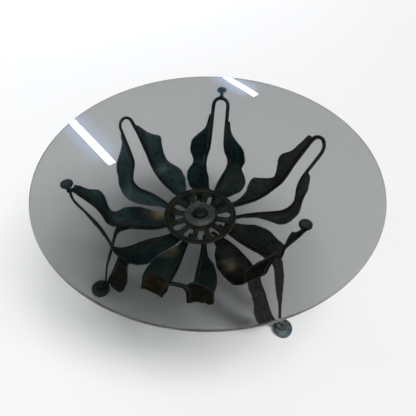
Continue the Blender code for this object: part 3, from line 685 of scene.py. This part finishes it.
for limb, number in hairpins:
    bar_skin, beads = skin(f"{limb}_bar_{number}"), []
    for hand in ("left", "right"):
        leaf = copied(f"{limb}_leaf_{number}_{hand}", "leaf_pattern")
        seam = [v.co.copy() for v in leaf.data.vertices
                if v.normal.dot(outward(v.co)) > 0 and bar_skin.find_nearest(v.co)[3] < SEAM_GAP]
        bpy.data.objects.remove(leaf, do_unlink=True)
        seam = in_order(seam)
        length = sum((b - a).length for a, b in zip(seam, seam[1:]))
        start = 0.4 * STITCH_GAP
        while start + STITCH < length:
            beads.append(between(seam, start, start + STITCH))
            start += STITCH + STITCH_GAP
    if limb == "arm":
        middle = math.radians(ARM_TONES[number][0])
        for hand, side in (("left", 1), ("right", -1)):
            turns = []
            for node in (f"arm_bar_{number}", f"arm_leaf_{number}_{hand}"):
                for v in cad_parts[node].data.vertices:
                    x, y = v.co.x - hub_x, v.co.y - hub_y
                    turn = math.remainder(math.atan2(y, x) - middle, math.tau)
                    if turn * side > 0 and abs(math.hypot(x, y) - rim_foot) < ROOT_ZONE:
                        turns.append(middle + turn)
            first, last = min(turns), max(turns)
            count = round((last - first) * wheel_radius / RIPPLE * 2)
            bends = [first + (last - first) * k / count for k in range(count + 1)]
            out, height = RIM_BEAD
            beads.append([Vector((hub_x + out * math.cos(a), hub_y + out * math.sin(a), height))
                          for a in bends])
    weld(f"{limb}_welds_{number}", beads)


# Pads: small turned discs on short necks, welded to the tops of the three arms that carry the glass. The
# steel is blued; the rear one is painted pale and bright, a painted reflection of a ceiling tube's glare.
PAD_STEPS = 64
PAD_THICK, PAD_ROUND = 0.0050, 0.0012
NECK = 0.0055
PAD_TONES = {  # the scale's colour and its rubbed colour
    # Painted reflection: pad 1's pale blue stands for a ceiling tube's glare.
    1: ((0.217, 0.405, 0.630), (0.348, 0.615, 0.930)),
    2: ((0.013, 0.081, 0.067), (0.036, 0.184, 0.157)),
    3: ((0.018, 0.093, 0.115), (0.046, 0.202, 0.256)),
}
for i, (cool, pale) in PAD_TONES.items():
    pad_finish = burnt_steel(f"turned_pad_{i}", 0, cool, pale, (0.016, 0.017, 0.015), 0.6, SOOT_AND_SHADE)
    axis, radius, low, top = round_box(f"pad_{i}")
    under = top - PAD_THICK
    pad = turned(
        f"rest_pad_{i}",
        [(0, top)] + arc(radius - PAD_ROUND, top - PAD_ROUND, PAD_ROUND, 90, 0)
        + arc(radius - PAD_ROUND, under + PAD_ROUND, PAD_ROUND, 0, -90)
        + [(NECK + 0.0027, under - 0.0002), (NECK + 0.0009, under - 0.0012), (NECK, under - 0.0028)]
        + [(NECK, low + 0.0025), (NECK + 0.0004, low + 0.0010), (NECK + 0.0009, low), (0, low)],
        PAD_STEPS, axis,
    )
    mark_sides(pad)
    mark(pad, "from_seam", [v.co.z - low for v in pad.data.vertices])
    shade(pad, 40)
    stand_for(pad, f"pad_{i}", pad_finish)


# Clear dots: soft see-through plastic discs with a rounded edge, stuck on the pads, so that the glass doesn't
# lie on bare steel.
DOT_STEPS = 48
DOT_ROUND = 0.0009
dot_finish, shader, place = new_finish("clear_soft_dot", Roughness=0.25, IOR=1.45, Transmission_Weight=0.85)
haze = place.noise(700, 3)
feed(shader, haze.mix((0.80, 0.83, 0.83), (0.92, 0.94, 0.94)), None, None, haze, 0.0001)
for i in (1, 2, 3):
    axis, radius, low, top = round_box(f"bumper_{i}")
    dot = turned(
        f"clear_dot_{i}",
        [(0, top), (0.7 * radius, top)] + arc(radius - DOT_ROUND, top - 0.0010, DOT_ROUND, 80, 0)
        + [(radius, low), (0, low)],
        DOT_STEPS, axis,
    )
    shade(dot, 50)
    stand_for(dot, f"bumper_{i}", dot_finish)


# Feet: thick round steel pucks, each with a stud that the end of a leg's hairpin is bent round. Their tops
# are rubbed bright and bluish, and they are darker over their lowest few millimetres. The rear foot is
# painted much darker and the left one a little darker than the front right one, as painted shade.
FOOT_STEPS = 96
FOOT_TOP, FOOT_ROUND = 0.016, 0.0035
STUD = 0.0039
# Painted shade: foot 1's tones are much darker, and foot 3's a little darker, than foot 2's.
FOOT_TONES_AND_SHADE = {  # dull and rubbed
    1: ((0.026, 0.034, 0.038), (0.058, 0.072, 0.078)),
    2: ((0.045, 0.066, 0.080), (0.125, 0.160, 0.176)),
    3: ((0.049, 0.068, 0.062), (0.106, 0.139, 0.131)),
}
for i, (dull, bright) in FOOT_TONES_AND_SHADE.items():
    foot_finish, shader, place = new_finish(f"blue_grey_puck_{i}", Specular_IOR_Level=0.5)
    cloud, fine = place.noise(45, 4, 0.6, 0.4), place.noise(380, 5, 0.6)
    tone = cloud.step(0.34, 0.68).mix(dull, bright)
    tone = (fine.step(0.56, 0.74) * 0.5).mix(tone, dull)
    # Darker over the lowest few millimetres.
    floor_height = place.node("SeparateXYZ", {}, {0: place}, 2)
    tone = ((1 - floor_height.step(0.0008, 0.004)) * 0.6).mix(tone, (0.035, 0.032, 0.028))
    feed(shader, tone, 0.3 + 0.3 * cloud, 0.95 - 0.3 * fine, fine * 0.6 + cloud * 0.4, 0.0006)
    axis, radius, _, top = round_box(f"foot_{i}")
    foot = turned(
        f"puck_foot_{i}",
        [(0, top), (STUD - 0.0013, top), (STUD - 0.0003, top - 0.0006), (STUD, top - 0.0016),
         (STUD, FOOT_TOP + 0.0004), (STUD + 0.0006, FOOT_TOP)]
        + arc(radius - FOOT_ROUND, FOOT_TOP - FOOT_ROUND, FOOT_ROUND, 90, 0, 6)
        + arc(radius - 0.001, 0.001, 0.001, 0, -90, 3) + [(0, 0)],
        FOOT_STEPS, axis,
    )
    shade(foot, 40)
    stand_for(foot, f"foot_{i}", foot_finish)


# Glass top: a loose 8 mm disc of slightly grey float glass, held on the dots by its own weight. Its edge is
# rounded and polished, though less clear than its faces.
GLASS_STEPS = 256
EDGE_ROUND = 0.0024
EDGE_FLAT = 0.0028  # the faces are dead flat up to this far from the rim
_, glass_radius, low, top = round_box("glass_top")
glass = turned(
    "glass_disc",
    [(0, top), (glass_radius - EDGE_FLAT, top)]
    + arc(glass_radius - EDGE_ROUND, top - EDGE_ROUND, EDGE_ROUND, 90, 0)
    + arc(glass_radius - EDGE_ROUND, low + EDGE_ROUND, EDGE_ROUND, 0, -90)
    + [(glass_radius - EDGE_FLAT, low), (0, low)],
    GLASS_STEPS, (0, 0, 0),
)
shade(glass, 30)
grey_glass, shader, place = new_finish(
    "grey_float_glass", Base_Color=(0.45, 0.46, 0.46, 1), Roughness=0.0, IOR=1.5, Transmission_Weight=1.0)
tree = grey_glass.node_tree
edge = 0.22 * place.from_axis(0, 0).step(glass_radius - 0.0030, glass_radius - 0.0022)
tree.links.new(edge.socket, shader.inputs["Roughness"])
rays = tree.nodes.new("ShaderNodeLightPath").outputs
shadow_ray, diffuse_ray = (Wire(tree, rays[f"Is {kind} Ray"]) for kind in ("Shadow", "Diffuse"))
clear = place.node("BsdfTransparent", {}, {"Color": (0.50, 0.51, 0.51, 1)})  # lets the lamps' light through
seen = place.node("MixShader", {}, {0: place.sum("MAXIMUM", shadow_ray, diffuse_ray),
                                    1: Wire(tree, shader.outputs[0]), 2: clear})
tree.links.new(seen.socket, tree.nodes["Material Output"].inputs["Surface"])
stand_for(glass, "glass_top", grey_glass, "top")


# Floor, lamps and camera: a pale studio floor with pale walls round it, under a strip of soft lamps, with a
# box lamp at the left and one in front. Two ceiling tubes make the bright lines in the glass. The camera
# looks down from the front.
bpy.ops.object.select_all(action="DESELECT")
bpy.ops.mesh.primitive_plane_add(size=400)
floor = bpy.context.object
floor.name = "studio_floor"
floor_paint = new_finish(
    "pale_floor", Base_Color=(0.90, 0.90, 0.90, 1), Roughness=0.9, Specular_IOR_Level=0.1)[0]
floor.data.materials.append(floor_paint)

world = bpy.data.worlds.new("studio")
bpy.context.scene.world = world
world.use_nodes = True
tree = world.node_tree
OVERHEAD = Vector((0.12, -0.22, 0.95)).normalized()  # the middle of a wide soft light over the table
sky = Wire(tree, tree.nodes.new("ShaderNodeTexCoord").outputs["Generated"])
toward = sky.node("VectorMath", {"operation": "DOT_PRODUCT"}, {0: sky, 1: OVERHEAD}, 1)
tree.links.new(toward.step(0.78, 0.97).mix((0.012, 0.012, 0.013), (1, 1, 1)).socket,
               tree.nodes["Background"].inputs["Color"])
tree.nodes["Background"].inputs["Strength"].default_value = 0.55
pale = sky.node("Background", {}, {"Color": (0.82, 0.82, 0.82, 1)})
rays = tree.nodes.new("ShaderNodeLightPath").outputs
camera_ray, glossy_ray, through_ray = (
    Wire(tree, rays[f"Is {kind} Ray"]) for kind in ("Camera", "Glossy", "Transmission"))
wall = 1 - sky.node("SeparateXYZ", {}, {0: sky}, 2).step(0.18, 0.42)  # pale up to where the ceiling starts
mirrored = sky.sum("MAXIMUM", glossy_ray, through_ray) * wall
shown = sky.node("MixShader", {}, {0: sky.sum("MAXIMUM", camera_ray, mirrored),
                                   1: Wire(tree, tree.nodes["Background"].outputs[0]), 2: pale})
tree.links.new(shown.socket, tree.nodes["World Output"].inputs["Surface"])


def lamp(name, place, aim, size, power, colour=(1, 1, 1)):
    """A flat lamp at a place, turned to a point."""
    light = bpy.data.lights.new(name, "AREA")
    light.shape = "RECTANGLE"
    light.size, light.size_y = size
    light.energy = power
    light.color = colour
    made = bpy.data.objects.new(name, light)
    bpy.context.scene.collection.objects.link(made)
    made.location = place
    made.rotation_euler = (Vector(aim) - Vector(place)).to_track_quat("-Z", "Y").to_euler()
    return made


STRIP = {  # how far each lies to the right and to the back for one up, and how strong it is
    "strip_left": (0.03, -0.17, 0.78),
    "strip_middle": (0.34, -0.19, 1.02),
    "strip_right": (0.68, -0.34, 0.90),
}
STRIP_WIDE = 16  # degrees
strip_lit = bpy.data.collections.new("strip_lit")  # the strip isn't mirrored in the glass
strip_lit.objects.link(glass)
strip_lit.collection_objects[0].light_linking.link_state = "EXCLUDE"
for name, (right, back, strength) in STRIP.items():
    sun = bpy.data.lights.new(name, "SUN")
    sun.energy = strength
    sun.angle = math.radians(STRIP_WIDE)
    made = bpy.data.objects.new(name, sun)
    bpy.context.scene.collection.objects.link(made)
    made.rotation_euler = Vector((-right, -back, -1)).to_track_quat("-Z", "Y").to_euler()
    made.light_linking.receiver_collection = strip_lit
lamp("left_box", (-2.2, 0.2, 1.9), (0, 0, 0.3), (1.2, 1.2), 4, (0.94, 0.97, 1.0))
lamp("front_box", (0.4, -2.4, 1.4), (0, 0, 0.25), (3.2, 1.4), 11).visible_glossy = False
TUBES = {"left_tube": ((-0.95, 2.13), (-2.40, 3.92)), "right_tube": ((0.585, 3.36), (-0.60, 4.78))}
TUBE_HEIGHT = 2.4
TUBE_WIDE = 0.48  # with its bluish diffuser
TUBE_SHARE = 0.075  # half the bright tube's share of that
TUBE_POWER = 75
for name, (near, far) in TUBES.items():
    start, stop = Vector((*near, TUBE_HEIGHT)), Vector((*far, TUBE_HEIGHT))
    middle = (start + stop) / 2
    tube = lamp(name, middle, middle - Vector((0, 0, 1)), ((stop - start).length, TUBE_WIDE), TUBE_POWER)
    tube.rotation_euler = (0, 0, math.atan2(stop.y - start.y, stop.x - start.x))
    tube.data.use_nodes = True
    tree = tube.data.node_tree
    spot = Wire(tree, tree.nodes.new("ShaderNodeNewGeometry").outputs["Parametric"])
    aside, ahead = (spot.sum("ABSOLUTE", spot.node("SeparateXYZ", {}, {0: spot}, k) - 0.5) for k in (1, 0))
    glow = (1 - aside.step(0.0, 0.5)) * (1 - ahead.step(0.40, 0.5))
    core = 1 - aside.step(TUBE_SHARE, TUBE_SHARE + 0.015)
    shine = core.mix(glow.mix((0, 0, 0), (0.030, 0.060, 0.110)), (1, 1, 1))
    tree.links.new(shine.socket, tree.nodes["Emission"].inputs["Color"])

camera = bpy.data.objects.new("camera", bpy.data.cameras.new("camera"))
bpy.context.scene.collection.objects.link(camera)
camera.location = (0, -0.66412, 1.09301)
camera.rotation_euler = (math.radians(41.255), 0, 0)
camera.data.lens = 32.452
camera.data.sensor_width = 36
camera.data.shift_x = 0.0007
bpy.context.scene.camera = camera
bpy.context.scene.view_settings.view_transform = "Standard"
